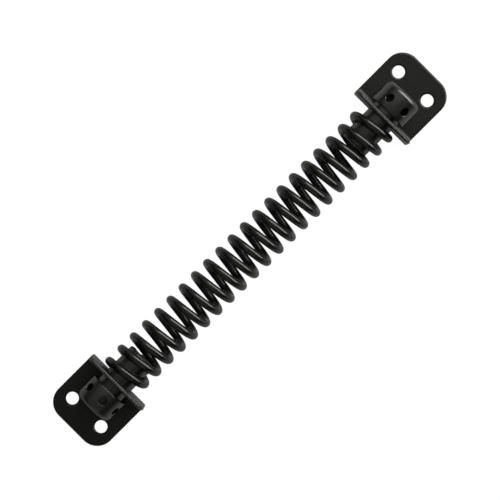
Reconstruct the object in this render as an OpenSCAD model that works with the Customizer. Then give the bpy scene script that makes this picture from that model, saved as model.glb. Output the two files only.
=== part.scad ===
// Torsion gate spring closer: one coil spring between two folded screw-on brackets.
// Each spring end hooks into a spindle that turns in a bracket's upright flange,
// and a drilled collar on the spindle's outer end is turned with a bar to wind the spring.
// Lengths are in millimetres. X runs along the spring, Z is up from the mounting face.
// The post end is at -X and the gate end at +X.

/* [Spring] */
// Diameter of the spring wire
wire_d = 3.55; // [2.4:0.05:4]
// Distance from one turn to the next
coil_pitch = 7.37; // [5:0.01:9]
// Number of turns between the two bent ends
coil_turns = 20.52; // [8:0.01:24]
// Angle about X at which the coil starts at the post end, from +Y towards +Z
coil_start = -35; // [-90:1:90]
// Inside radius of the bend from the coil into each tang
tang_bend_r = 0.9; // [0.6:0.1:1.2]
// Distance from the spring's axis to the end of each tang
tang_stop = 1.5; // [1:0.1:2.5]
// Play between the spindle and the inside of the coil
coil_clearance = 0.3; // [0.3:0.05:0.8]

/* [Brackets] */
// Thickness of the sheet that each bracket is folded from
sheet_t = 1.8; // [1.2:0.1:2.5]
// Width of the plate and of its flange
plate_w = 31.7; // [28:0.1:40]
// Length of the plate, from its outer edge to the flange's spring side
plate_len = 30; // [27:0.2:40]
// Inside radius of the fold
fold_r = 1.6; // [1:0.1:2.5]
// Radius of the plate's two outer corners
plate_corner_r = 8.2; // [2:0.2:9]
// Radius of the flange's two top corners
flange_corner_r = 4; // [1:0.2:5]
// Height of metal left in the flange above the spindle's hole
flange_rim = 3.5; // [2:0.1:6]
// Diameter of the screw holes
screw_hole_d = 5.5; // [4:0.1:7]
// Distance between a plate's two screw holes
screw_spacing = 17.4; // [14:0.1:19]
// Distance from the plate's outer edge to the screw holes' centres
screw_edge = 9.5; // [6:0.1:12]

/* [Spindles] */
// Diameter of the spindle where it turns in the flange
spindle_d = 13.6; // [12:0.1:16]
// Play all round between the spindle and the flange's hole
swivel_clearance = 0.1; // [0.05:0.01:0.1]
// Length of spindle that reaches on past the tang, inside the coil
spindle_nose = 12.5; // [6:0.1:16]
// Chamfer on the spindle's inner end
nose_chamfer = 0.8; // [0.3:0.1:1.2]
// Diameter of the stub that carries the collar
stub_d = 6; // [5:0.1:7]
// Chamfer on the stub's outer end
stub_chamfer = 0.5; // [0.2:0.1:0.8]
// Gap all round between the stub and the collar
stub_gap = 0.02; // [0.01:0.01:0.05]
// Play between the bend of the wire and the mouth of its slot
slot_clearance = 0.1; // [0.05:0.05:0.4]
// Gap between the end of the tang and the floor of its slot
slot_floor_gap = 0.3; // [0.2:0.05:0.5]
// Length of spindle between the coil's end and the collar
neck_len = 5.65; // [4:0.05:8]

/* [Collars] */
// Step from the spindle's surface up to the collar's
collar_step = 2.1; // [1:0.1:3]
// Length of the collar
collar_len = 11; // [10:0.1:14]
// Radius of the collar's outer rim
collar_round = 2.2; // [0.5:0.1:3]
// Chamfer on the collar's inner rim
collar_chamfer = 0.3; // [0.1:0.1:0.6]
// Height of the collar above the plate
collar_lift = 1.3; // [0.8:0.1:3]
// Diameter of the holes for the winding bar
bar_hole_d = 3.7; // [2.5:0.1:4.2]
// Number of bar holes round each collar
bar_hole_count = 6; // [3:1:8]
// Distance from the collar's inner face to the bar holes
bar_hole_at = 4.7; // [3:0.1:6]
// Metal left between the floor of a bar hole and the collar's bore
bar_hole_wall = 1; // [0.6:0.1:2]

/* [Rest position] */
// Turn of the post collar about X, from a bar hole straight up
post_turn = 8; // [-30:0.5:30]
// Turn of the gate collar about X, from a bar hole straight up
gate_turn = -24.5; // [-30:0.5:30]
// Gap between the post flange and the end of the coil
post_gap = 0.3; // [0.3:0.05:1.5]
// Gap between the gate flange and its collar
gate_gap = 2.2; // [0.3:0.05:2.5]
// Least height of the coil above the mounting face
spring_lift = 0.8; // [0.5:0.1:3]

/* [Hidden] */
$fn = 64;
// Sides of the wire's section, and rings of points along one turn, one bend and one straight tang
wire_sides = 6;
turn_rings = 16;
bend_rings = 6;
tang_rings = 2;
// How far a cutting shape runs past the face it cuts
overcut = 1;
// Step between the widths that a slot cutter comes in
cutter_step = 0.02;

satin_black = [0.13, 0.13, 0.125];
gloss_black = [0.07, 0.07, 0.07];

// Coil: its mean radius, and how far it moves along X for each unit along the wire
coil_r = spindle_d / 2 + coil_clearance + wire_d / 2;
coil_slope = coil_pitch / (2 * PI * coil_r);
coil_half = coil_turns * coil_pitch / 2;
coil_end = coil_start + 360 * coil_turns;

// Bent end: the wire turns in until it points straight at the axis
bend_r = tang_bend_r + wire_d / 2;
bend_turn = acos(-bend_r / (coil_r - bend_r));
bend_in = coil_r - bend_r + bend_r * cos(bend_turn);
bend_side = bend_r * sin(bend_turn);
bend_advance = coil_slope * bend_r * bend_turn * PI / 360;
tang_angle = atan2(bend_side, bend_in);
tang_top = norm([bend_in, bend_side]);
tang_x = coil_half + bend_advance;

// Slot for the tang: its mouth is as wide as where the inside of the bend leaves the spindle's surface,
// and its width is rounded up to the cutter's next size
spindle_r = spindle_d / 2;
bend_centre_r = coil_r - bend_r;
mouth_angle = acos((spindle_r ^ 2 + bend_centre_r ^ 2 - tang_bend_r ^ 2) / (2 * spindle_r * bend_centre_r));
mouth_w = 2 * (spindle_r * sin(tang_angle - mouth_angle) + slot_clearance);
slot_w = ceil(mouth_w / cutter_step) * cutter_step;
slot_floor = tang_stop - slot_floor_gap;

// Places along X, measured out from the middle of the spring
wire_end_x = tang_x + wire_d / 2;
collar_x = wire_end_x + neck_len;
nose_x = tang_x - spindle_nose;

// The two brackets lie evenly about the origin, and the spring unit floats between them
bracket_x = (wire_end_x + post_gap + collar_x - gate_gap - sheet_t) / 2;
unit_x = wire_end_x + post_gap - bracket_x;

// Collar: its diameter, its bore, and how far from the axis the floors of its bar holes lie
collar_d = spindle_d + 2 * collar_step;
collar_bore_r = stub_d / 2 + stub_gap;
bar_hole_floor = collar_bore_r + bar_hole_wall;

// Heights above the mounting face
axis_h = max(sheet_t + collar_d / 2 + collar_lift, coil_r + wire_d / 2 + spring_lift);
swivel_hole_d = spindle_d + 2 * swivel_clearance;
flange_h = axis_h + swivel_hole_d / 2 + flange_rim;
fold_out = fold_r + sheet_t;

// Directions across the spring at an angle about X: outwards, and onwards round the axis
function outwards(angle) = [0, cos(angle), sin(angle)];
function onwards(angle) = [0, -sin(angle), cos(angle)];

// One place on the wire's centre line is [point, outer side of the curve, direction along the wire]
function coil_place(angle) =
    [
        [(angle - coil_start) / 360 * coil_pitch - coil_half, 0, 0] + coil_r * outwards(angle),
        outwards(angle),
        [coil_slope, 0, 0] + onwards(angle)
    ];

// A place on the bend at one end of the coil; way is 1 at the gate end and -1 at the post end
function bend_place(angle, way, turn) =
    let (out = outwards(angle), on = way * onwards(angle), share = turn / bend_turn)
    [
        [way * (coil_half + bend_advance * share * (2 - share)), 0, 0]
            + (coil_r - bend_r + bend_r * cos(turn)) * out + bend_r * sin(turn) * on,
        cos(turn) * out + sin(turn) * on,
        [coil_slope * (1 - share), 0, 0] + way * (cos(turn) * on - sin(turn) * out)
    ];

// A place on the straight tang, at a given distance from the axis
function tang_place(angle, way, from_axis) =
    let (last = bend_place(angle, way, bend_turn))
    [[way * tang_x, 0, 0] + from_axis * outwards(angle + way * tang_angle), last[1], last[2]];

// The tang's distances from the axis, from its end up to the bend
tang_steps = [for (i = [0 : tang_rings - 1]) tang_stop + (tang_top - tang_stop) * i / tang_rings];
bend_steps = [for (i = [1 : bend_rings]) bend_turn * i / bend_rings];
coil_rings = ceil(coil_turns * turn_rings);

// The whole wire, from the post end's tang through the coil to the gate end's tang
wire_path = concat(
    [for (s = tang_steps) tang_place(coil_start, -1, s)],
    [for (i = [bend_rings - 1 : -1 : 0]) bend_place(coil_start, -1, bend_steps[i])],
    [for (i = [0 : coil_rings]) coil_place(coil_start + 360 * coil_turns * i / coil_rings)],
    [for (s = bend_steps) bend_place(coil_end, 1, s)],
    [for (i = [tang_rings - 1 : -1 : 0]) tang_place(coil_end, 1, tang_steps[i])]
);

// Points of the wire's section at one place, with a flat side towards the inside of the curve
function wire_ring(place) =
    let (along = place[2] / norm(place[2]), side = cross(along, place[1]))
    [
        for (k = [0 : wire_sides - 1])
            let (a = 360 * (k + 0.5) / wire_sides)
                place[0] + wire_d / 2 * (cos(a) * place[1] + sin(a) * side)
    ];

// The least gap between parts of the wire that lie half a turn or more apart
function wire_gap(path) =
    min([
        for (i = [0 : len(path) - 1])
            for (j = [i + turn_rings / 2 : 1 : min(i + 2 * turn_rings, len(path) - 1)])
                norm(path[i][0] - path[j][0])
    ]) - wire_d;

echo(least_gap_of_the_wire_to_itself_mm = wire_gap(wire_path));

// A tube through the sections of the wire, closed at both ends, in triangles
module wire_tube(path) {
    rings = [for (place = path) each wire_ring(place)];
    n = wire_sides;
    last = n * (len(path) - 1);
    walls = [
        for (i = [0 : len(path) - 2])
            for (k = [0 : n - 1])
                let (a = n * i + k, b = n * i + (k + 1) % n)
                    each [[a, b, a + n], [b, b + n, a + n]]
    ];
    post_cap = [for (k = [1 : n - 2]) [0, k + 1, k]];
    gate_cap = [for (k = [1 : n - 2]) [last, last + k, last + k + 1]];
    polyhedron(points = rings, faces = concat(walls, post_cap, gate_cap), convexity = 10);
}

// The bracket's section, with the flange's spring side on the vertical axis and the plate running to +X
module bracket_section() {
    translate([fold_out, 0]) square([plate_len - fold_out, sheet_t]);
    translate([0, fold_out]) square([sheet_t, flange_h - fold_out]);
    translate([fold_out, fold_out])
        intersection() {
            difference() {
                circle(r = fold_out);
                circle(r = fold_r);
            }
            translate([-fold_out, -fold_out]) square(fold_out);
        }
}

// A strip along +X, centred on the X axis, whose far two corners are round
module round_ended_strip(length, width, r) {
    translate([0, -width / 2]) square([length - r, width]);
    translate([0, r - width / 2]) square([length, width - 2 * r]);
    for (s = [-1, 1])
        translate([length - r, s * (width / 2 - r)]) circle(r = r);
}

// One bracket at the gate end, folded from a single sheet, with its screw holes and swivel hole
module bracket() {
    difference() {
        intersection() {
            rotate([90, 0, 0]) linear_extrude(plate_w, center = true) bracket_section();
            linear_extrude(flange_h) round_ended_strip(plate_len, plate_w, plate_corner_r);
            rotate([0, -90, 0]) linear_extrude(2 * plate_len, center = true)
                round_ended_strip(flange_h, plate_w, flange_corner_r);
        }
        translate([-overcut, 0, axis_h])
            rotate([0, 90, 0]) cylinder(d = swivel_hole_d, h = sheet_t + 2 * overcut);
        for (s = [-1, 1])
            translate([plate_len - screw_edge, s * screw_spacing / 2, -overcut])
                cylinder(d = screw_hole_d, h = sheet_t + 2 * overcut);
    }
}

// Section of the spindle: radius across, place along the spring upwards
module spindle_section() {
    polygon([
        [0, nose_x],
        [spindle_d / 2 - nose_chamfer, nose_x],
        [spindle_d / 2, nose_x + nose_chamfer],
        [spindle_d / 2, collar_x],
        [stub_d / 2, collar_x],
        [stub_d / 2, collar_x + collar_len - stub_chamfer],
        [stub_d / 2 - stub_chamfer, collar_x + collar_len],
        [0, collar_x + collar_len]
    ]);
}

// Outline of the tang's slot seen from the spindle's side: round at the tang and open at the inner end
module slot_outline() {
    slot_len = tang_x - nose_x + overcut;
    circle(d = slot_w);
    translate([-slot_len, -slot_w / 2]) square([slot_len, slot_w]);
}

// One spindle at the gate end, slotted from its inner end so that the coil slides on with its tang
module spindle(slot_angle) {
    difference() {
        rotate([0, 90, 0]) rotate_extrude() spindle_section();
        rotate([slot_angle, 0, 0])
            translate([tang_x, slot_floor, 0])
                rotate([-90, 0, 0]) linear_extrude(spindle_d) slot_outline();
    }
}

// Section of the collar: radius across, distance from its inner face upwards
module collar_section() {
    rim_r = collar_d / 2;
    polygon([
        [collar_bore_r, 0],
        [rim_r - collar_chamfer, 0],
        [rim_r, collar_chamfer],
        [rim_r, collar_len - collar_round],
        [rim_r - collar_round, collar_len - collar_round],
        [rim_r - collar_round, collar_len],
        [collar_bore_r, collar_len]
    ]);
    intersection() {
        translate([rim_r - collar_round, collar_len - collar_round]) circle(r = collar_round);
        translate([rim_r - collar_round, collar_len - collar_round]) square(collar_round);
    }
}

// One collar at the gate end, with its ring of blind bar holes
module collar(turn) {
    difference() {
        translate([collar_x, 0, 0]) rotate([0, 90, 0]) rotate_extrude() collar_section();
        for (k = [0 : bar_hole_count - 1])
            rotate([turn + 360 * k / bar_hole_count, 0, 0])
                translate([collar_x + bar_hole_at, 0, bar_hole_floor]) cylinder(d = bar_hole_d, h = collar_d);
    }
}

// Puts a piece of the spring unit in its place
module in_unit() {
    translate([unit_x, 0, axis_h]) children();
}

module post_bracket() {
    color(satin_black) mirror([1, 0, 0]) translate([bracket_x, 0, 0]) bracket();
}

module gate_bracket() {
    color(satin_black) translate([bracket_x, 0, 0]) bracket();
}

module post_spindle() {
    color(satin_black) in_unit() mirror([1, 0, 0]) spindle(coil_start - tang_angle);
}

module gate_spindle() {
    color(satin_black) in_unit() spindle(coil_end + tang_angle);
}

module post_collar() {
    color(satin_black) in_unit() mirror([1, 0, 0]) collar(post_turn);
}

module gate_collar() {
    color(satin_black) in_unit() collar(gate_turn);
}

module spring() {
    color(gloss_black) in_unit() wire_tube(wire_path);
}

post_bracket();
gate_bracket();
post_spindle();
gate_spindle();
post_collar();
gate_collar();
spring();
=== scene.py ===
"""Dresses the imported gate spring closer: a torsion spring on two spindles between two folded brackets.

Each piece is made again in the place of its solid, with eased edges, lips on its holes and paint.
Sizes are in millimetres until they reach a mesh, which is in metres.
"""

import math

import bmesh
import bpy
from mathutils import Matrix, Vector
from mathutils.geometry import delaunay_2d_cdt


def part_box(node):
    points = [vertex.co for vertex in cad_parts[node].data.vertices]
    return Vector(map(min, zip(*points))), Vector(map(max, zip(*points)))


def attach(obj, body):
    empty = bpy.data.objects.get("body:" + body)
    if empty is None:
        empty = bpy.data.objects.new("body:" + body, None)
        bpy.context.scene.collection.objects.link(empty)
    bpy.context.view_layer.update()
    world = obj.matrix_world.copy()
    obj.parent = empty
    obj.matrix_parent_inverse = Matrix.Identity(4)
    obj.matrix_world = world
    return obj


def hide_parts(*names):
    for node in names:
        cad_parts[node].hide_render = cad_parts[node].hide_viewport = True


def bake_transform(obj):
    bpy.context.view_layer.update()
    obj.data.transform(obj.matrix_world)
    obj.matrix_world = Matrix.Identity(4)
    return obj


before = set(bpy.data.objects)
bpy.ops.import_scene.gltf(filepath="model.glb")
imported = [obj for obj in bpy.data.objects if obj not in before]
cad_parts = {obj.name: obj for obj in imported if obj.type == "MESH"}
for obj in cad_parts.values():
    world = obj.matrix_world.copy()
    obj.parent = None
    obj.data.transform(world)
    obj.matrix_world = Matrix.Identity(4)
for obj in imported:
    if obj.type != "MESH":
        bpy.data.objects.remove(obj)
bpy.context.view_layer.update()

MM = 0.001
QUARTER = math.pi / 2
FULL = 2 * math.pi
# The closer's two ends, by the side of the middle on which they lie along X
POST, GATE = -1, 1


def solid_box(node):
    """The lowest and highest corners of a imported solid."""
    return [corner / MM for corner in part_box(node)]


# Outer sizes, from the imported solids
plate_low, plate_high = solid_box("gate_bracket")
collar_low, collar_high = solid_box("gate_collar")
PLATE_EDGE_X = plate_high.x
PLATE_LEN = plate_high.x - plate_low.x
PLATE_W = plate_high.y - plate_low.y
FLANGE_H = plate_high.z
COLLAR_LEN = collar_high.x - collar_low.x
COLLAR_R = (collar_high.z - collar_low.z) / 2
AXIS_H = (collar_high.z + collar_low.z) / 2
# How far the spring and its spindles lie from the middle between the brackets
UNIT_X = (collar_high.x + solid_box("post_collar")[0].x) / 2

# Spring wire
WIRE_D = 3.55
COIL_R = 8.875
COIL_PITCH = 7.37
COIL_TURNS = 20.52
COIL_START = math.radians(-35)
BEND_R = 2.675
TANG_STOP = 1.5
RINGS_PER_TURN = 72
BEND_RINGS = 20
TANG_RINGS = 6
WIRE_SIDES = 24

# Brackets, folded from one sheet each
SHEET_T = 1.8
# The inside of the fold, 0.8 mm rounder than the solid's and still clear of the swivel hole's eased rim
FOLD_R = 2.4
FOLD_STEPS = 16
PLATE_CORNER_R = 8.2
FLANGE_CORNER_R = 4.0
CORNER_STEPS = 16
SCREW_HOLE_D = 5.5
SCREW_HOLE_SIDES = 64
SCREW_SPACING = 17.4
SCREW_EDGE = 9.5
SWIVEL_HOLE_D = 13.8
SWIVEL_HOLE_SIDES = 96
SHEET_EDGE_R = 0.85
EDGE_STEPS = 5

# Spindles and collars, turned from bar
SPINDLE_R = 6.8
SPINDLE_NOSE = 12.5
NOSE_ROUND = 0.8
NOSE_STEPS = 6
NECK_LEN = 5.65
STUB_R = 3.0
STUB_CHAMFER = 0.5
SLOT_W = 4.78
SLOT_FLOOR = 1.2
SLOT_END_STEPS = 32
COLLAR_BORE_R = 3.02
COLLAR_BORE_LIP = 0.25
COLLAR_ROUND = 2.2
ROUND_STEPS = 14
COLLAR_EASE = 0.3
EASE_STEPS = 4
BAR_HOLE_D = 3.7
BAR_HOLE_FLOOR = 4.02
BAR_HOLE_COUNT = 6
BAR_HOLE_AT = 4.7
BAR_HOLE_LIP = 0.25
BAR_HOLE_SIDES = 48
BAR_HOLE_TURN = {POST: math.radians(8), GATE: math.radians(-24.5)}
TURNED_SIDES = 144
# Points nearer to each other than this are one point after a cut
WELD_GAP = 0.005
# Faces that meet at more than this angle keep a crisp edge
SHARP = math.radians(32)

# Studio floor, with a low wall that curves up from it
FLOOR_Z = -0.1
FLOOR_R = 7600
COVE_R = 400
COVE_STEPS = 12
WALL_TOP = 1100
STAGE_SIDES = 96

# Camera, at the photograph's viewing angle
CAMERA_PLACE = (15.825, 12.2, 1003.4)
CAMERA_TARGET = (0.175, -0.12, 12)
CAMERA_RIGHT = (1, -1, 0)
CAMERA_LENS = 167.81
CAMERA_SENSOR_W = 36

# What follows from those sizes
SHEET_MID_R = FOLD_R + SHEET_T / 2
PLATE_FLAT = PLATE_LEN - FOLD_R - SHEET_T
FOLD_ARC = QUARTER * SHEET_MID_R
FLANGE_FOOT = FOLD_R + SHEET_T
BLANK_LEN = PLATE_FLAT + FOLD_ARC + FLANGE_H - FLANGE_FOOT
COIL_HALF = COIL_TURNS * COIL_PITCH / 2
COIL_TWIST = FULL * COIL_TURNS
COIL_END = {POST: COIL_START, GATE: COIL_START + COIL_TWIST}
BEND_TURN = math.acos(-BEND_R / (COIL_R - BEND_R))
BEND_ADVANCE = COIL_PITCH / (FULL * COIL_R) * BEND_R * BEND_TURN / 2
BEND_IN = COIL_R - BEND_R + BEND_R * math.cos(BEND_TURN)
BEND_SIDE = BEND_R * math.sin(BEND_TURN)
TANG_ANGLE = math.atan2(BEND_SIDE, BEND_IN)
TANG_TOP = math.hypot(BEND_IN, BEND_SIDE)
TANG_X = COIL_HALF + BEND_ADVANCE
NOSE_X = TANG_X - SPINDLE_NOSE
COLLAR_X = TANG_X + WIRE_D / 2 + NECK_LEN
COLLAR_END_X = COLLAR_X + COLLAR_LEN

# Which output of a Mix node is its colour
MIX_COLOUR = 2
# How far apart a wave's crests are at a scale of 1, in metres
WAVE_SPACING = 0.314


def linear(hex_colour):
    """The linear colour that a shader takes, from an sRGB hex value."""
    channels = [int(hex_colour[i:i + 2], 16) / 255 for i in (1, 3, 5)]
    return [c / 12.92 if c <= 0.04045 else ((c + 0.055) / 1.055) ** 2.4 for c in channels] + [1.0]


def add(tree, kind, inputs=None, **settings):
    """Adds a node with its settings, and fills its inputs with values or with links from other nodes."""
    node = tree.nodes.new(kind)
    for name, value in settings.items():
        setattr(node, name, value)
    sockets = {socket.identifier: socket for socket in node.inputs}
    for name, value in (inputs or {}).items():
        if isinstance(value, bpy.types.NodeSocket):
            tree.links.new(value, sockets[name])
        else:
            sockets[name].default_value = value
    return node


def features(size_mm):
    """The scale of a noise whose features are about this wide."""
    return 1 / (size_mm * MM)


def new_material(name):
    """An empty material and its tree."""
    material = bpy.data.materials.new(name)
    material.use_nodes = True
    material.node_tree.nodes.clear()
    return material, material.node_tree


def drifting_film(tree, place, size_mm, darker, paler):
    """A film of paint that drifts between two colours: its clouds, about this wide, and its colour."""
    drift = add(tree, "ShaderNodeTexNoise", {"Vector": place, "Scale": features(size_mm), "Detail": 3.0})
    film = add(tree, "ShaderNodeMix", {
        "Factor_Float": drift.outputs["Fac"],
        "A_Color": linear(darker),
        "B_Color": linear(paler),
    }, data_type="RGBA")
    return drift.outputs["Fac"], film.outputs[MIX_COLOUR]


def worn_and_highlit_edges(tree, place, film, worn_and_highlit):
    """The colour of a film whose edges are rubbed to a paler colour, in specks about 0.7 mm wide; the pale
    specks are rubbed paint and also a painted highlight along the edges.
    """
    grit = add(tree, "ShaderNodeTexNoise", {"Vector": place, "Scale": features(0.7), "Detail": 3.0})
    edge = add(tree, "ShaderNodeAttribute", attribute_name="edge")
    specks = add(tree, "ShaderNodeMath", {
        "Value": edge.outputs["Fac"],
        "Value_001": grit.outputs["Fac"],
    }, operation="MULTIPLY")
    share = add(tree, "ShaderNodeMapRange", {
        "Value": specks.outputs["Value"],
        "From Min": 0.3,
        "From Max": 0.8,
    })
    colour = add(tree, "ShaderNodeMix", {
        "Factor_Float": share.outputs["Result"],
        "A_Color": film,
        "B_Color": linear(worn_and_highlit),
    }, data_type="RGBA")
    return colour.outputs[MIX_COLOUR]


def finish_paint(tree, colour, patches, roughness, relief, strength, depth_mm, ior):
    """Ends a paint: its roughness moves between two values with its patches, and a relief lies in it."""
    # Nearly all of a noise lies between 0.3 and 0.7
    gloss = add(tree, "ShaderNodeMapRange", {
        "Value": patches,
        "From Min": 0.3,
        "From Max": 0.7,
        "To Min": roughness[0],
        "To Max": roughness[1],
    })
    bump = add(tree, "ShaderNodeBump", {"Height": relief, "Strength": strength, "Distance": depth_mm * MM})
    surface = add(tree, "ShaderNodeBsdfPrincipled", {
        "Base Color": colour,
        "Roughness": gloss.outputs["Result"],
        "IOR": ior,
        "Normal": bump.outputs["Normal"],
    })
    add(tree, "ShaderNodeOutputMaterial", {"Surface": surface.outputs["BSDF"]})


def powder_coated_sheet():
    """Black polyester powder coat, sprayed and baked on folded sheet: satin, with a fine orange peel.
    The film is thinnest over edges, which handling rubs to a dull dark grey; that grey is also a painted
    highlight along every edge."""
    material, tree = new_material("powder_coat_satin_black")
    place = add(tree, "ShaderNodeTexCoord").outputs["Object"]
    clouds, film = drifting_film(tree, place, 14, "#0d0d0c", "#131311")
    # Real orange peel on thin sheet is about 0.6 mm across, and is drawn at 1.1 mm so that it shows
    peel = add(tree, "ShaderNodeTexNoise", {"Vector": place, "Scale": features(1.1), "Detail": 1.0})
    finish_paint(
        tree,
        # Edge specks of #585855: rubbed paint, and a painted highlight along the edges
        colour=worn_and_highlit_edges(tree, place, film, "#585855"),
        patches=clouds,
        roughness=(0.28, 0.38),
        relief=peel.outputs["Fac"],
        strength=0.8,
        depth_mm=0.09,
        ior=1.42,
    )
    return material


def painted_turned_steel():
    """Black stoving paint over steel turned on a lathe: satin, with the tool's rings faint under the film.
    The film is hard and dense, so it mirrors more than the powder coat, and its rims are rubbed grey, a
    grey that is also a painted highlight on the rims."""
    material, tree = new_material("stoved_paint_on_turned_steel")
    place = add(tree, "ShaderNodeTexCoord").outputs["Object"]
    clouds, film = drifting_film(tree, place, 9, "#070707", "#0a0a09")
    # A lathe's feed leaves rings about 0.2 mm apart, drawn at 0.5 mm so that they show
    rings = add(tree, "ShaderNodeTexWave", {
        "Vector": place,
        "Scale": WAVE_SPACING / (0.5 * MM),
        "Distortion": 0.6,
        "Detail": 1.0,
    })
    finish_paint(
        tree,
        # Rim specks of #40403e: rubbed paint, and a painted highlight on the rims
        colour=worn_and_highlit_edges(tree, place, film, "#40403e"),
        patches=clouds,
        roughness=(0.26, 0.32),
        relief=rings.outputs["Fac"],
        strength=0.12,
        depth_mm=0.03,
        ior=1.75,
    )
    return material


def painted_drawn_wire():
    """Black dipped paint on drawn spring wire: deep and glossy, with fine lines from the die along it."""
    material, tree = new_material("dipped_gloss_paint_on_drawn_wire")
    place = add(tree, "ShaderNodeTexCoord").outputs["Object"]
    _, film = drifting_film(tree, place, 11, "#0b0b0a", "#121210")
    section = add(tree, "ShaderNodeAttribute", attribute_name="wire_section")
    along = add(tree, "ShaderNodeAttribute", attribute_name="wire_along")
    across = add(tree, "ShaderNodeSeparateXYZ", {"Vector": section.outputs["Vector"]})
    # A die leaves lines about 0.1 mm wide and metres long, drawn 0.4 mm wide and 16 mm long
    slow = add(tree, "ShaderNodeMath", {
        "Value": along.outputs["Fac"],
        "Value_001": 0.4 / 16,
    }, operation="MULTIPLY")
    lay = add(tree, "ShaderNodeCombineXYZ", {
        "X": across.outputs["X"],
        "Y": across.outputs["Y"],
        "Z": slow.outputs["Value"],
    })
    lines = add(tree, "ShaderNodeTexNoise", {
        "Vector": lay.outputs["Vector"],
        "Scale": features(0.4),
        "Detail": 2.0,
    })
    finish_paint(
        tree,
        colour=film,
        patches=lines.outputs["Fac"],
        roughness=(0.18, 0.28),
        relief=lines.outputs["Fac"],
        strength=0.15,
        depth_mm=0.03,
        ior=1.5,
    )
    return material


def backdrop_paper():
    """Pale grey matt studio paper, which the camera sees nearly white, with a faint shadow on it.
    Gloss and glass see a tenth of that white too."""
    material, tree = new_material("matt_pale_backdrop_paper")
    light_path = add(tree, "ShaderNodeLightPath")
    mirrored = add(tree, "ShaderNodeMath", {
        "Value": light_path.outputs["Is Glossy Ray"],
        "Value_001": light_path.outputs["Is Transmission Ray"],
    }, operation="MAXIMUM")
    glow = add(tree, "ShaderNodeMath", {
        "Value": mirrored.outputs["Value"],
        "Value_001": 0.1,
    }, operation="MULTIPLY")
    straight = add(tree, "ShaderNodeMath", {
        "Value": light_path.outputs["Is Camera Ray"],
        "Value_001": 0.8,
    }, operation="MULTIPLY")
    share = add(tree, "ShaderNodeMath", {
        "Value": straight.outputs["Value"],
        "Value_001": glow.outputs["Value"],
    }, operation="MAXIMUM")
    paper = add(tree, "ShaderNodeBsdfDiffuse", {"Color": linear("#a8a8a8")})
    white = add(tree, "ShaderNodeEmission", {"Color": linear("#ffffff"), "Strength": 1.22})
    surface = add(tree, "ShaderNodeMixShader", {
        "Fac": share.outputs["Value"],
        "Shader": paper.outputs["BSDF"],
        "Shader_001": white.outputs["Emission"],
    })
    add(tree, "ShaderNodeOutputMaterial", {"Surface": surface.outputs["Shader"]})
    return material


def new_piece(name, places, edges=(), faces=(), material=None):
    """An object at the origin, from places in millimetres."""
    mesh = bpy.data.meshes.new(name)
    mesh.from_pydata([Vector(p) * MM for p in places], edges, faces)
    piece = bpy.data.objects.new(name, mesh)
    bpy.context.scene.collection.objects.link(piece)
    if material:
        mesh.materials.append(material)
    return piece


def settle(piece):
    """Makes what the piece's modifiers give into its plain mesh, and removes them."""
    graph = bpy.context.evaluated_depsgraph_get()
    result = bpy.data.meshes.new_from_object(
        piece.evaluated_get(graph), preserve_all_data_layers=True, depsgraph=graph
    )
    piece.modifiers.clear()
    piece.data = result


def run_recipe(piece, tree, values):
    """Runs a geometry tree on the piece with these named inputs, and keeps the result as its mesh."""
    modifier = piece.modifiers.new(tree.name, "NODES")
    modifier.node_group = tree
    for item in tree.interface.items_tree:
        if item.in_out == "INPUT" and item.name in values:
            modifier[item.identifier] = values[item.name]
    settle(piece)


def new_recipe(name, inputs):
    """A geometry tree with these named inputs, and the sockets that bring them in."""
    tree = bpy.data.node_groups.new(name, "GeometryNodeTree")
    for label, kind in [("Geometry", "NodeSocketGeometry"), *inputs]:
        tree.interface.new_socket(label, in_out="INPUT", socket_type=kind)
    tree.interface.new_socket("Geometry", in_out="OUTPUT", socket_type="NodeSocketGeometry")
    return tree, add(tree, "NodeGroupInput").outputs


def finish_recipe(tree, shape, material):
    """Ends a geometry tree: everything is made real, gets its material and is taken out."""
    real = add(tree, "GeometryNodeRealizeInstances", {"Geometry": shape})
    painted = add(tree, "GeometryNodeSetMaterial", {
        "Geometry": real.outputs["Geometry"],
        "Material": material,
    })
    end = add(tree, "NodeGroupOutput")
    tree.links.new(painted.outputs["Geometry"], end.inputs["Geometry"])


def close_shell(mesh):
    """Joins points that lie almost on top of each other, and turns the closed mesh's faces outwards."""
    shell = bmesh.new()
    shell.from_mesh(mesh)
    bmesh.ops.remove_doubles(shell, verts=shell.verts, dist=WELD_GAP * MM)
    bmesh.ops.recalc_face_normals(shell, faces=shell.faces)
    shell.to_mesh(mesh)
    shell.free()


def smooth(mesh):
    """Shades a mesh smooth between its crisp edges."""
    mesh.shade_smooth()
    mesh.set_sharp_from_angle(angle=SHARP)


def set_edge_wear_and_highlight(mesh, amounts):
    """Stores how much each point lies on an edge that wears and takes a painted highlight."""
    mesh.attributes.new("edge", "FLOAT", "POINT").data.foreach_set("value", amounts)


def steps(count):
    """The shares of a whole at the ends of equal steps, without the start."""
    return [(i + 1) / count for i in range(count)]


def neighbours(count):
    """Each point of a closed ring with the next one, by number."""
    return [(i, (i + 1) % count) for i in range(count)]


def outwards(angle):
    """The direction away from the spring's axis at an angle about X, from +Y towards +Z."""
    return Vector((0, math.cos(angle), math.sin(angle)))


def onwards(angle):
    """The direction round the spring's axis at an angle about X."""
    return Vector((0, -math.sin(angle), math.cos(angle)))


def in_unit(x, across):
    """A place on the spring unit, from its place along the axis and its offset from it."""
    return Vector((x + UNIT_X, 0, AXIS_H)) + across


def coil_place(share):
    """A place on the coil's centre line, from 0 at the post end to 1 at the gate end."""
    return in_unit((2 * share - 1) * COIL_HALF, COIL_R * outwards(COIL_START + COIL_TWIST * share))


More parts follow.
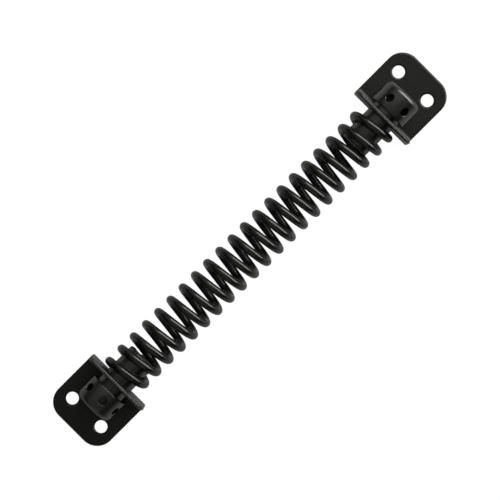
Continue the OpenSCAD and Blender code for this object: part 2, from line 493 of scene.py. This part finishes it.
def bend_place(way, share):
    """A place on the bend from one end of the coil into its tang."""
    turn = BEND_TURN * share
    out = outwards(COIL_END[way]) * (COIL_R - BEND_R + BEND_R * math.cos(turn))
    on = onwards(COIL_END[way]) * way * BEND_R * math.sin(turn)
    return in_unit(way * (COIL_HALF + BEND_ADVANCE * share * (2 - share)), out + on)


def tang_place(way, share):
    """A place on a straight tang, from the bend to the tang's end."""
    from_axis = TANG_TOP + (TANG_STOP - TANG_TOP) * share
    return in_unit(way * TANG_X, from_axis * outwards(COIL_END[way] + way * TANG_ANGLE))


def wire_end(way):
    """The centre line of one end of the wire, from the coil to the tang's end."""
    bend = [bend_place(way, share) for share in steps(BEND_RINGS)]
    return bend + [tang_place(way, share) for share in steps(TANG_RINGS)]


def wire_path():
    """The whole centre line of the wire, from the post end's tang to the gate end's."""
    rings = round(COIL_TURNS * RINGS_PER_TURN)
    coil = [coil_place(i / rings) for i in range(rings + 1)]
    return wire_end(POST)[::-1] + coil + wire_end(GATE)


def wire_recipe():
    """Draws a round wire along a line of edges, and marks each point's place along it and round it."""
    tree, given = new_recipe("drawn_wire", [
        ("Wire diameter", "NodeSocketFloat"),
        ("Sides", "NodeSocketInt"),
        ("Paint", "NodeSocketMaterial"),
    ])
    line = add(tree, "GeometryNodeMeshToCurve", {"Mesh": given["Geometry"]})
    along = add(tree, "GeometryNodeStoreNamedAttribute", {
        "Geometry": line.outputs["Curve"],
        "Name": "wire_along",
        "Value": add(tree, "GeometryNodeSplineParameter").outputs["Length"],
    }, data_type="FLOAT", domain="POINT")
    radius = add(tree, "ShaderNodeMath", {
        "Value": given["Wire diameter"],
        "Value_001": 0.5,
    }, operation="MULTIPLY")
    section = add(tree, "GeometryNodeCurvePrimitiveCircle", {
        "Resolution": given["Sides"],
        "Radius": radius.outputs["Value"],
    })
    round_it = add(tree, "GeometryNodeStoreNamedAttribute", {
        "Geometry": section.outputs["Curve"],
        "Name": "wire_section",
        "Value": add(tree, "GeometryNodeInputPosition").outputs["Position"],
    }, data_type="FLOAT_VECTOR", domain="POINT")
    wire = add(tree, "GeometryNodeCurveToMesh", {
        "Curve": along.outputs["Geometry"],
        "Profile Curve": round_it.outputs["Geometry"],
        "Fill Caps": True,
    })
    finish_recipe(tree, wire.outputs["Mesh"], given["Paint"])
    return tree


def make_spring(paint):
    """The torsion spring, which twists between the two spindles."""
    path = wire_path()
    piece = new_piece("spring_coil", path, [(i, i + 1) for i in range(len(path) - 1)])
    run_recipe(piece, wire_recipe(), {"Wire diameter": WIRE_D * MM, "Sides": WIRE_SIDES, "Paint": paint})
    smooth(piece.data)
    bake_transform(piece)
    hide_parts("spring")


def fold_turn(along):
    """How far the sheet has turned at a place on the blank, measured from the plate's outer edge."""
    return min(max((along - PLATE_FLAT) / SHEET_MID_R, 0), QUARTER)


def bracket_place(way, along, side, height):
    """Where a point of the flat blank goes when the sheet is folded."""
    turn = fold_turn(along)
    reach = min(along, PLATE_FLAT) + (SHEET_MID_R - height) * math.sin(turn)
    lift = max(along - PLATE_FLAT - FOLD_ARC, 0)
    z = FLANGE_FOOT - (SHEET_MID_R - height) * math.cos(turn) + lift
    return Vector((way * (PLATE_EDGE_X - reach), -way * side, z))


def bracket_normal(way, along, across, upward):
    """The direction that a normal of the flat blank takes when the sheet is folded."""
    turn = fold_turn(along)
    reach = across.x * math.cos(turn) - upward * math.sin(turn)
    rise = across.x * math.sin(turn) + upward * math.cos(turn)
    return Vector((-way * reach, -way * across.y, rise))


def round_corner(centre, radius, first):
    """Points round one corner of the blank, each with its outward direction."""
    turns = [first + QUARTER * i / CORNER_STEPS for i in range(CORNER_STEPS + 1)]
    rays = [Vector((math.cos(a), math.sin(a))) for a in turns]
    return [(Vector(centre) + radius * ray, ray) for ray in rays]


def hole_rim(centre, radius, sides):
    """Points round a hole of the blank, each with the direction into the hole."""
    rays = [Vector((math.cos(FULL * i / sides), -math.sin(FULL * i / sides))) for i in range(sides)]
    return [(centre + radius * ray, -ray) for ray in rays]


def blank_outline():
    """The outline of the flat blank, and the fold's lines across it as pairs of the outline's points."""
    half = PLATE_W / 2
    plate_in = half - PLATE_CORNER_R
    flange_in = half - FLANGE_CORNER_R
    flange_end = BLANK_LEN - FLANGE_CORNER_R
    folds = [PLATE_FLAT + FOLD_ARC * i / FOLD_STEPS for i in range(FOLD_STEPS + 1)]
    plate_out = round_corner((PLATE_CORNER_R, -plate_in), PLATE_CORNER_R, math.pi)
    fold_out = [(Vector((along, -half)), Vector((0, -1))) for along in folds]
    flange_out = round_corner((flange_end, -flange_in), FLANGE_CORNER_R, math.pi + QUARTER)
    flange_back = round_corner((flange_end, flange_in), FLANGE_CORNER_R, 0)
    fold_back = [(Vector((along, half)), Vector((0, 1))) for along in folds[::-1]]
    plate_back = round_corner((PLATE_CORNER_R, plate_in), PLATE_CORNER_R, QUARTER)
    outline = plate_out + fold_out + flange_out + flange_back + fold_back + plate_back
    first_out = len(plate_out)
    last_back = len(outline) - len(plate_back) - 1
    return outline, [(first_out + i, last_back - i) for i in range(FOLD_STEPS + 1)]


def blank_holes():
    """The blank's two screw holes and its swivel hole: centre, radius and number of sides."""
    swivel_at = PLATE_FLAT + FOLD_ARC + AXIS_H - FLANGE_FOOT
    screw_centres = [Vector((SCREW_EDGE, side * SCREW_SPACING / 2)) for side in (-1, 1)]
    screw_holes = [(centre, SCREW_HOLE_D / 2, SCREW_HOLE_SIDES) for centre in screw_centres]
    return screw_holes + [(Vector((swivel_at, 0)), SWIVEL_HOLE_D / 2, SWIVEL_HOLE_SIDES)]


def edge_section():
    """The sheet's rounded edge from its upper face to its lower: inset, height and tilt of the normal."""
    core = SHEET_T / 2 - SHEET_EDGE_R
    quarter = [QUARTER * (1 - i / EDGE_STEPS) for i in range(EDGE_STEPS + 1)]
    upper = [(SHEET_EDGE_R * (1 - math.cos(a)), core + SHEET_EDGE_R * math.sin(a), a) for a in quarter]
    return upper + [(inset, -height, -tilt) for inset, height, tilt in reversed(upper)]


def flat_triangles(loops, holes, fold_lines):
    """Triangles that fill the flat face inside the rounded edges, by the number of the loops' points."""
    points, edges = [], []
    for loop in loops:
        start = len(points)
        points += [point - ray * SHEET_EDGE_R for point, ray in loop]
        edges += [(start + i, start + j) for i, j in neighbours(len(loop))]
    inside_only, same_point = 1, 1e-6
    filled = delaunay_2d_cdt(points, edges + fold_lines, [], inside_only, same_point)
    triangles, sources = filled[2:4]
    for triangle in triangles:
        corners = [sources[i][0] for i in triangle]
        middle = sum((points[i] for i in corners), Vector((0, 0))) / 3
        in_hole = any(
            (middle - centre).length < (radius + SHEET_EDGE_R) * math.cos(math.pi / sides)
            for centre, radius, sides in holes
        )
        if not in_hole:
            yield corners


def make_bracket(way, end, paint):
    """A bracket of one folded sheet, with a rounded edge round its outline and its holes."""
    outline, fold_lines = blank_outline()
    holes = blank_holes()
    loops = [outline] + [hole_rim(*hole) for hole in holes]
    places, normals, wear_and_highlight, faces = [], [], [], []
    upper, lower = [], []
    for loop in loops:
        rings = []
        for inset, height, tilt in edge_section():
            rings.append(range(len(places), len(places) + len(loop)))
            for point, ray in loop:
                along, side = point - ray * inset
                places.append(bracket_place(way, along, side, height))
                normals.append(bracket_normal(way, along, ray * math.cos(tilt), math.sin(tilt)))
                # Most wear, and most painted highlight, at the outermost bend of each rounded edge
                wear_and_highlight.append(math.cos(tilt))
        for above, below in zip(rings, rings[1:]):
            faces += [(above[i], below[i], below[j], above[j]) for i, j in neighbours(len(loop))]
        upper += rings[0]
        lower += rings[-1]
    for corners in flat_triangles(loops, holes, fold_lines):
        faces.append([upper[i] for i in corners])
        faces.append([lower[i] for i in reversed(corners)])
    piece = new_piece(f"{end}_bracket_folded", places, faces=faces, material=paint)
    piece.data.shade_smooth()
    piece.data.normals_split_custom_set_from_vertices(normals)
    set_edge_wear_and_highlight(piece.data, wear_and_highlight)
    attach(piece, f"{end}_bracket")
    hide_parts(f"{end}_bracket")


def rounding(along, across, radius, first, last, count):
    """An arc of a turned section, as points: place along the axis, distance from it, and edge wear that
    also carries a painted highlight.
    """
    shares = [i / count for i in range(count + 1)]
    turns = [first + (last - first) * share for share in shares]
    crest = [math.sin(math.pi * share) for share in shares]
    return [(along + radius * math.sin(a), across + radius * math.cos(a), w) for a, w in zip(turns, crest)]


def turn_on_lathe(name, way, section, paint, bored=False):
    """A body of revolution about the spring's axis, from points of its section as rounding() gives them.
    The section starts and ends on the axis, or goes all round where the body is bored through."""
    places, rings, wear_and_highlight = [], [], []
    for along, across, worn_and_highlit in section:
        count = TURNED_SIDES if across else 1
        rings.append([len(places) + i for i in range(count)])
        places += [in_unit(way * along, across * outwards(FULL * i / count)) for i in range(count)]
        # Wear on the turned rims, which also carries a painted highlight
        wear_and_highlight += [worn_and_highlit] * count
    if bored:
        rings.append(rings[0])
    faces = []
    for one, two in zip(rings, rings[1:]):
        for i, j in neighbours(TURNED_SIDES):
            corners = [one[i % len(one)], one[j % len(one)], two[j % len(two)], two[i % len(two)]]
            faces.append(list(dict.fromkeys(corners)))
    piece = new_piece(name, places, faces=faces, material=paint)
    set_edge_wear_and_highlight(piece.data, wear_and_highlight)
    close_shell(piece.data)
    return piece


def drill_shape(tree, given):
    """The drill of one bar hole, along Z from the hole's floor to past the collar's surface."""
    drill = add(tree, "GeometryNodeMeshCylinder", {
        "Vertices": given["Hole sides"],
        "Radius": given["Hole radius"],
        "Depth": given["Collar radius"],
    })
    middle = add(tree, "ShaderNodeMath", {
        "Value": given["Collar radius"],
        "Value_001": 0.5,
        "Value_002": given["Floor from axis"],
    }, operation="MULTIPLY_ADD")
    place = add(tree, "ShaderNodeCombineXYZ", {"Z": middle.outputs["Value"]})
    return add(tree, "GeometryNodeTransform", {
        "Geometry": drill.outputs["Mesh"],
        "Translation": place.outputs["Vector"],
    })


def countersink_shape(tree, given):
    """The 45 degree countersink of one bar hole, along Z like its drill.
    It starts two lips under the collar's surface, inside the hole, and ends one lip above it.
    It is turned by half a side, so that it crosses the hole's wall cleanly."""
    narrow = add(tree, "ShaderNodeMath", {
        "Value": given["Hole radius"],
        "Value_001": given["Lip"],
    }, operation="SUBTRACT")
    depth = add(tree, "ShaderNodeMath", {
        "Value": given["Lip"],
        "Value_001": 3.0,
    }, operation="MULTIPLY")
    wide = add(tree, "ShaderNodeMath", {
        "Value": narrow.outputs["Value"],
        "Value_001": depth.outputs["Value"],
    }, operation="ADD")
    cone = add(tree, "GeometryNodeMeshCone", {
        "Vertices": given["Hole sides"],
        "Radius Top": wide.outputs["Value"],
        "Radius Bottom": narrow.outputs["Value"],
        "Depth": depth.outputs["Value"],
    })
    start = add(tree, "ShaderNodeMath", {
        "Value": given["Lip"],
        "Value_001": -2.0,
        "Value_002": given["Collar radius"],
    }, operation="MULTIPLY_ADD")
    place = add(tree, "ShaderNodeCombineXYZ", {"Z": start.outputs["Value"]})
    half_side = add(tree, "ShaderNodeMath", {
        "Value": math.pi,
        "Value_001": given["Hole sides"],
    }, operation="DIVIDE")
    turn = add(tree, "ShaderNodeCombineXYZ", {"Z": half_side.outputs["Value"]})
    return add(tree, "GeometryNodeTransform", {
        "Geometry": cone.outputs["Mesh"],
        "Translation": place.outputs["Vector"],
        "Rotation": turn.outputs["Vector"],
    })


def bar_hole_recipe():
    """Drills a ring of blind holes with a small lip into a collar."""
    tree, given = new_recipe("bar_holes", [
        ("Hole count", "NodeSocketInt"),
        ("Hole radius", "NodeSocketFloat"),
        ("Hole sides", "NodeSocketInt"),
        ("Floor from axis", "NodeSocketFloat"),
        ("Lip", "NodeSocketFloat"),
        ("Collar radius", "NodeSocketFloat"),
        ("Centre", "NodeSocketVector"),
        ("First angle", "NodeSocketFloat"),
        ("Paint", "NodeSocketMaterial"),
    ])
    step = add(tree, "ShaderNodeMath", {
        "Value": FULL,
        "Value_001": given["Hole count"],
    }, operation="DIVIDE")
    angle = add(tree, "ShaderNodeMath", {
        "Value": add(tree, "GeometryNodeInputIndex").outputs["Index"],
        "Value_001": step.outputs["Value"],
        "Value_002": given["First angle"],
    }, operation="MULTIPLY_ADD")
    spoke = add(tree, "ShaderNodeCombineXYZ", {"X": angle.outputs["Value"]})
    spots = add(tree, "GeometryNodePoints", {"Count": given["Hole count"], "Position": given["Centre"]})
    drilled = given["Geometry"]
    for tool in (drill_shape(tree, given), countersink_shape(tree, given)):
        tools = add(tree, "GeometryNodeInstanceOnPoints", {
            "Points": spots.outputs["Points"],
            "Instance": tool.outputs["Geometry"],
            "Rotation": spoke.outputs["Vector"],
        })
        real = add(tree, "GeometryNodeRealizeInstances", {"Geometry": tools.outputs["Instances"]})
        cut = add(tree, "GeometryNodeMeshBoolean", {
            "Mesh 1": drilled,
            "Mesh 2": real.outputs["Geometry"],
        }, operation="DIFFERENCE", solver="EXACT")
        drilled = cut.outputs["Mesh"]
    finish_recipe(tree, drilled, given["Paint"])
    return tree


def make_collar(way, end, paint, recipe):
    """A collar with a well rounded outer rim, bored for the stub and drilled for the winding bar."""
    inner_rim = COLLAR_R - COLLAR_EASE
    outer_rim = COLLAR_R - COLLAR_ROUND
    section = [(COLLAR_X, COLLAR_BORE_R, 0)]
    section += rounding(COLLAR_X + COLLAR_EASE, inner_rim, COLLAR_EASE, -QUARTER, 0, EASE_STEPS)
    section += rounding(COLLAR_END_X - COLLAR_ROUND, outer_rim, COLLAR_ROUND, 0, QUARTER, ROUND_STEPS)
    section += [
        (COLLAR_END_X, COLLAR_BORE_R + COLLAR_BORE_LIP, 0),
        (COLLAR_END_X - COLLAR_BORE_LIP, COLLAR_BORE_R, 0),
    ]
    piece = turn_on_lathe(f"{end}_collar_turned", way, section, paint, bored=True)
    run_recipe(piece, recipe, {
        "Hole count": BAR_HOLE_COUNT,
        "Hole radius": BAR_HOLE_D / 2 * MM,
        "Hole sides": BAR_HOLE_SIDES,
        "Floor from axis": BAR_HOLE_FLOOR * MM,
        "Lip": BAR_HOLE_LIP * MM,
        "Collar radius": COLLAR_R * MM,
        "Centre": in_unit(way * (COLLAR_X + BAR_HOLE_AT), Vector()) * MM,
        "First angle": BAR_HOLE_TURN[way],
        "Paint": paint,
    })
    close_shell(piece.data)
    smooth(piece.data)
    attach(piece, f"{end}_spindle")
    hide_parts(f"{end}_collar")


def slot_cutter(way):
    """The end mill's path for a tang's slot: round at the tang, and open past the spindle's nose."""
    half = SLOT_W / 2
    round_end = rounding(TANG_X, 0, half, 0, math.pi, SLOT_END_STEPS)
    outline = [(along, side) for along, side, _ in round_end]
    outline += [(NOSE_X - half, -half), (NOSE_X - half, half)]
    angle = COIL_END[way] + way * TANG_ANGLE
    places = [
        in_unit(way * along, height * outwards(angle) + side * onwards(angle))
        for height in (SLOT_FLOOR, 2 * SPINDLE_R)
        for along, side in outline
    ]
    count = len(outline)
    walls = [(i, j, count + j, count + i) for i, j in neighbours(count)]
    cutter = new_piece(f"slot_cutter_{way}", places, faces=[range(count), range(count, 2 * count), *walls])
    close_shell(cutter.data)
    return cutter


def make_spindle(way, end, paint):
    """A spindle with a rounded nose, a slot for the spring's tang and a stub for the collar."""
    nose_rim = SPINDLE_R - NOSE_ROUND
    section = [(NOSE_X, 0, 0)]
    section += rounding(NOSE_X + NOSE_ROUND, nose_rim, NOSE_ROUND, -QUARTER, 0, NOSE_STEPS)
    section += [
        (COLLAR_X, SPINDLE_R, 0),
        (COLLAR_X, STUB_R, 0),
        (COLLAR_END_X - STUB_CHAMFER, STUB_R, 0),
        (COLLAR_END_X, STUB_R - STUB_CHAMFER, 0),
        (COLLAR_END_X, 0, 0),
    ]
    piece = turn_on_lathe(f"{end}_spindle_turned", way, section, paint)
    cutter = slot_cutter(way)
    slot = piece.modifiers.new("slot", "BOOLEAN")
    slot.operation = "DIFFERENCE"
    slot.solver = "EXACT"
    slot.object = cutter
    settle(piece)
    bpy.data.objects.remove(cutter)
    close_shell(piece.data)
    smooth(piece.data)
    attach(piece, f"{end}_spindle")
    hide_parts(f"{end}_spindle")


def make_stage():
    """A round pale floor with a low wall that curves up from it."""
    section = [(FLOOR_R, FLOOR_Z)]
    for share in steps(COVE_STEPS):
        turn = QUARTER * share
        section.append((FLOOR_R + COVE_R * math.sin(turn), COVE_R - COVE_R * math.cos(turn)))
    section.append((FLOOR_R + COVE_R, WALL_TOP))
    places = [(0, 0, FLOOR_Z)]
    for reach, height in section:
        for i in range(STAGE_SIDES):
            turn = FULL * i / STAGE_SIDES
            places.append((reach * math.cos(turn), reach * math.sin(turn), height))
    faces = [(0, 1 + i, 1 + j) for i, j in neighbours(STAGE_SIDES)]
    for ring in range(len(section) - 1):
        low = 1 + ring * STAGE_SIDES
        high = low + STAGE_SIDES
        faces += [(low + i, high + i, high + j, low + j) for i, j in neighbours(STAGE_SIDES)]
    floor = new_piece("studio_floor", places, faces=faces, material=backdrop_paper())
    floor.data.shade_smooth()


def aim(thing, place, target, right=None):
    """Puts a lamp or the camera in its place, looking at a target, its right side as given or level."""
    forward = (Vector(target) - Vector(place)).normalized()
    side = Vector(right) if right else forward.cross(Vector((0, 0, 1)))
    side = (side - forward * side.dot(forward)).normalized()
    turn = Matrix((side, side.cross(forward), -forward)).transposed().to_4x4()
    thing.matrix_world = Matrix.Translation(Vector(place) * MM) @ turn


def add_softbox(name, place, size, watts, right=None):
    """A flat soft lamp, faintly warm, that looks at the middle of the closer."""
    data = bpy.data.lights.new(name, "AREA")
    data.shape = "RECTANGLE"
    data.size, data.size_y = (side * MM for side in size)
    data.energy = watts
    data.color = linear("#fffffa")[:3]
    lamp = bpy.data.objects.new(name, data)
    bpy.context.scene.collection.objects.link(lamp)
    aim(lamp, place, (0, 0, AXIS_H), right)
    lamp.visible_camera = False


def make_light():
    """A large softbox at the gate end, panels above and two weak fills, in a nearly dark room."""
    world = bpy.data.worlds.new("studio")
    bpy.context.scene.world = world
    world.use_nodes = True
    world.node_tree.nodes.clear()
    dim = add(world.node_tree, "ShaderNodeBackground", {"Color": linear("#ffffff"), "Strength": 0.02})
    add(world.node_tree, "ShaderNodeOutputWorld", {"Surface": dim.outputs["Background"]})
    add_softbox("gate_end_softbox", (1170, -200, 760), (2500, 750), watts=36.5, right=(0.2, 0.85, 0.36))
    add_softbox("overhead_panel", (800, 850, 1500), (1700, 2900), watts=5.6, right=(1, 0, 0))
    add_softbox("ceiling_panel", (0, 0, 1900), (4000, 4000), watts=7.5, right=(1, 0, 0))
    add_softbox("side_fill", (0, 1400, 900), (1600, 1200), watts=0.3)
    add_softbox("post_end_fill", (-1150, -350, 800), (1600, 900), watts=1.4)


def make_camera():
    """A long lens above the closer, turned so that it runs from corner to corner of the picture."""
    data = bpy.data.cameras.new("photo_camera")
    data.sensor_width = CAMERA_SENSOR_W
    data.lens = CAMERA_LENS
    camera = bpy.data.objects.new("photo_camera", data)
    bpy.context.scene.collection.objects.link(camera)
    aim(camera, CAMERA_PLACE, CAMERA_TARGET, CAMERA_RIGHT)
    bpy.context.scene.camera = camera


coat = powder_coated_sheet()
turned = painted_turned_steel()
drilling = bar_hole_recipe()
make_spring(painted_drawn_wire())
for way, end in ((POST, "post"), (GATE, "gate")):
    make_bracket(way, end, coat)
    make_spindle(way, end, turned)
    make_collar(way, end, turned, drilling)
make_stage()
make_light()
make_camera()
bpy.context.scene.view_settings.view_transform = "Standard"
